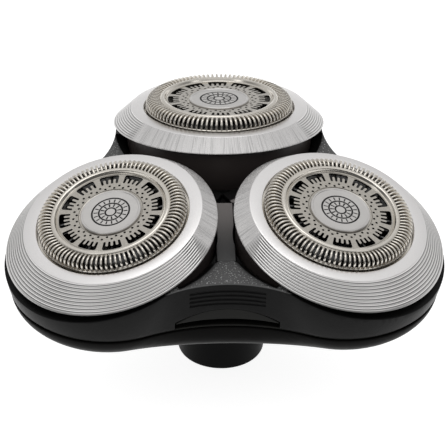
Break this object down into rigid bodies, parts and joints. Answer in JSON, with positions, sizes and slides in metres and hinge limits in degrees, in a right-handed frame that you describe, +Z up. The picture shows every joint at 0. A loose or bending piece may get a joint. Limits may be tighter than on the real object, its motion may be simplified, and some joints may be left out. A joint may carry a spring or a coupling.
{
  "type": "rotary electric shaver head",
  "caption": "Rotary shaving unit: round slotted heads tilt in a trefoil holder above a gear case with a round coupling stem.",
  "frame": {"origin": "centre of the coupling stem's lower end, on the drive axis", "axes": "+Z up along the drive axis, out of the shaving side; +Y towards the rear head; +X to the right"},
  "size_m": [0.0698, 0.0651, 0.0375],
  "materials": {
    "bezel_satin": "satin silver with fine ridges",
    "black_case": "glossy black moulded plastic",
    "black_frame": "satin black moulded plastic, lighter and speckled on the ribs",
    "bush_brass": "sintered bronze",
    "cap_steel": "fine brushed steel",
    "cutter_steel": "ground steel",
    "gear_plastic": "natural acetal",
    "grey_tray": "matt black moulded plastic",
    "guard_steel": "bright formed nickel steel",
    "plain_steel": "zinc plated steel",
    "retaining_plastic": "dark grey moulded plastic",
    "seal_rubber": "matt black rubber",
    "spindle_plastic": "natural acetal",
    "spring_steel": "drawn spring wire",
    "stem_plastic": "satin black moulded plastic"
  },
  "bodies": {
    "base": {"lower_shell": "black_case", "gear_case_gasket": "seal_rubber", "coupling_stem": "stem_plastic", "stem_screws": "plain_steel", "tray_screws": "plain_steel", "shaft_bush": "bush_brass", "chamber_tray": "grey_tray", "axle_pin_left": "plain_steel", "spindle_seal_left": "seal_rubber", "axle_pin_right": "plain_steel", "spindle_seal_right": "seal_rubber", "axle_pin_rear": "plain_steel", "spindle_seal_rear": "seal_rubber"},
    "drive": {"drive_shaft": "plain_steel", "sun_gear": "gear_plastic", "shaft_clip": "spring_steel"},
    "holder": {"holder_frame": "black_frame", "tilt_pins_left": "plain_steel", "tilt_pins_right": "plain_steel", "tilt_pins_rear": "plain_steel"},
    "head_left": {"head_carrier_left": "black_frame", "bezel_left": "bezel_satin"},
    "lock_left": {"retaining_ring_left": "retaining_plastic"},
    "guard_set_left": {"guard_left": "guard_steel", "guard_cap_left": "cap_steel"},
    "cutter_set_left": {"cutter_left": "cutter_steel", "cutter_hub_left": "spindle_plastic"},
    "gear_left": {"drive_gear_left": "gear_plastic", "spindle_spring_left": "spring_steel"},
    "spindle_left": {"drive_spindle_left": "spindle_plastic"},
    "head_right": {"head_carrier_right": "black_frame", "bezel_right": "bezel_satin"},
    "lock_right": {"retaining_ring_right": "retaining_plastic"},
    "guard_set_right": {"guard_right": "guard_steel", "guard_cap_right": "cap_steel"},
    "cutter_set_right": {"cutter_right": "cutter_steel", "cutter_hub_right": "spindle_plastic"},
    "gear_right": {"drive_gear_right": "gear_plastic", "spindle_spring_right": "spring_steel"},
    "spindle_right": {"drive_spindle_right": "spindle_plastic"},
    "head_rear": {"head_carrier_rear": "black_frame", "bezel_rear": "bezel_satin"},
    "lock_rear": {"retaining_ring_rear": "retaining_plastic"},
    "guard_set_rear": {"guard_rear": "guard_steel", "guard_cap_rear": "cap_steel"},
    "cutter_set_rear": {"cutter_rear": "cutter_steel", "cutter_hub_rear": "spindle_plastic"},
    "gear_rear": {"drive_gear_rear": "gear_plastic", "spindle_spring_rear": "spring_steel"},
    "spindle_rear": {"drive_spindle_rear": "spindle_plastic"}
  },
  "joints": [
    {"name": "drive_spin", "type": "hinge", "parent": "base", "child": "drive", "pos_m": [0, 0, 0], "axis": [0, 0, 1], "continuous": true},
    {"name": "holder_lift_off", "type": "slide", "parent": "base", "child": "holder", "axis": [0, 0, 1], "range_m": [0, 0.03]},
    {"name": "head_tilt_left", "type": "hinge", "parent": "holder", "child": "head_left", "pos_m": [-0.01667, -0.00962, 0.02817], "axis": [0.5, -0.866, 0], "range_deg": [-6, 3], "stiffness_Nm_per_rad": 0.02},
    {"name": "lock_turn_left", "type": "hinge", "parent": "head_left", "child": "lock_left", "pos_m": [-0.01667, -0.00962, 0.02817], "axis": [-0.2168, -0.1252, 0.9681], "range_deg": [0, 25]},
    {"name": "guard_press_left", "type": "slide", "parent": "head_left", "child": "guard_set_left", "axis": [0.2168, 0.1252, -0.9681], "range_m": [0, 0.0012], "stiffness_N_per_m": 400, "springref_m": -0.0015},
    {"name": "cutter_spin_left", "type": "hinge", "parent": "guard_set_left", "child": "cutter_set_left", "pos_m": [-0.01667, -0.00962, 0.02817], "axis": [-0.2168, -0.1252, 0.9681], "continuous": true},
    {"name": "gear_spin_left", "type": "hinge", "parent": "base", "child": "gear_left", "pos_m": [-0.01667, -0.00962, 0], "axis": [0, 0, 1], "continuous": true},
    {"name": "spindle_slide_left", "type": "slide", "parent": "gear_left", "child": "spindle_left", "axis": [0, 0, -1], "range_m": [0, 0.00124], "deforming": ["spindle_spring_left"]},
    {"name": "head_tilt_right", "type": "hinge", "parent": "holder", "child": "head_right", "pos_m": [0.01667, -0.00962, 0.02817], "axis": [0.5, 0.866, 0], "range_deg": [-6, 3], "stiffness_Nm_per_rad": 0.02},
    {"name": "lock_turn_right", "type": "hinge", "parent": "head_right", "child": "lock_right", "pos_m": [0.01667, -0.00962, 0.02817], "axis": [0.2168, -0.1252, 0.9681], "range_deg": [0, 25]},
    {"name": "guard_press_right", "type": "slide", "parent": "head_right", "child": "guard_set_right", "axis": [-0.2168, 0.1252, -0.9681], "range_m": [0, 0.0012], "stiffness_N_per_m": 400, "springref_m": -0.0015},
    {"name": "cutter_spin_right", "type": "hinge", "parent": "guard_set_right", "child": "cutter_set_right", "pos_m": [0.01667, -0.00962, 0.02817], "axis": [0.2168, -0.1252, 0.9681], "continuous": true},
    {"name": "gear_spin_right", "type": "hinge", "parent": "base", "child": "gear_right", "pos_m": [0.01667, -0.00962, 0], "axis": [0, 0, 1], "continuous": true},
    {"name": "spindle_slide_right", "type": "slide", "parent": "gear_right", "child": "spindle_right", "axis": [0, 0, -1], "range_m": [0, 0.00124], "deforming": ["spindle_spring_right"]},
    {"name": "head_tilt_rear", "type": "hinge", "parent": "holder", "child": "head_rear", "pos_m": [0, 0.01925, 0.02817], "axis": [-1, 0, 0], "range_deg": [-6, 3], "stiffness_Nm_per_rad": 0.02},
    {"name": "lock_turn_rear", "type": "hinge", "parent": "head_rear", "child": "lock_rear", "pos_m": [0, 0.01925, 0.02817], "axis": [0, 0.2504, 0.9681], "range_deg": [0, 25]},
    {"name": "guard_press_rear", "type": "slide", "parent": "head_rear", "child": "guard_set_rear", "axis": [0, -0.2504, -0.9681], "range_m": [0, 0.0012], "stiffness_N_per_m": 400, "springref_m": -0.0015},
    {"name": "cutter_spin_rear", "type": "hinge", "parent": "guard_set_rear", "child": "cutter_set_rear", "pos_m": [0, 0.01925, 0.02817], "axis": [0, 0.2504, 0.9681], "continuous": true},
    {"name": "gear_spin_rear", "type": "hinge", "parent": "base", "child": "gear_rear", "pos_m": [0, 0.01925, 0], "axis": [0, 0, 1], "continuous": true},
    {"name": "spindle_slide_rear", "type": "slide", "parent": "gear_rear", "child": "spindle_rear", "axis": [0, 0, -1], "range_m": [0, 0.00124], "deforming": ["spindle_spring_rear"]}
  ],
  "couplings": [
    {"joint": "gear_spin_left", "follows": "drive_spin", "ratio": -0.75},
    {"joint": "cutter_spin_left", "follows": "drive_spin", "ratio": -0.75},
    {"joint": "spindle_slide_left", "follows": "guard_press_left", "ratio": 1.0329},
    {"joint": "gear_spin_right", "follows": "drive_spin", "ratio": -0.75},
    {"joint": "cutter_spin_right", "follows": "drive_spin", "ratio": -0.75},
    {"joint": "spindle_slide_right", "follows": "guard_press_right", "ratio": 1.0329},
    {"joint": "gear_spin_rear", "follows": "drive_spin", "ratio": -0.75},
    {"joint": "cutter_spin_rear", "follows": "drive_spin", "ratio": -0.75},
    {"joint": "spindle_slide_rear", "follows": "guard_press_rear", "ratio": 1.0329}
  ]
}
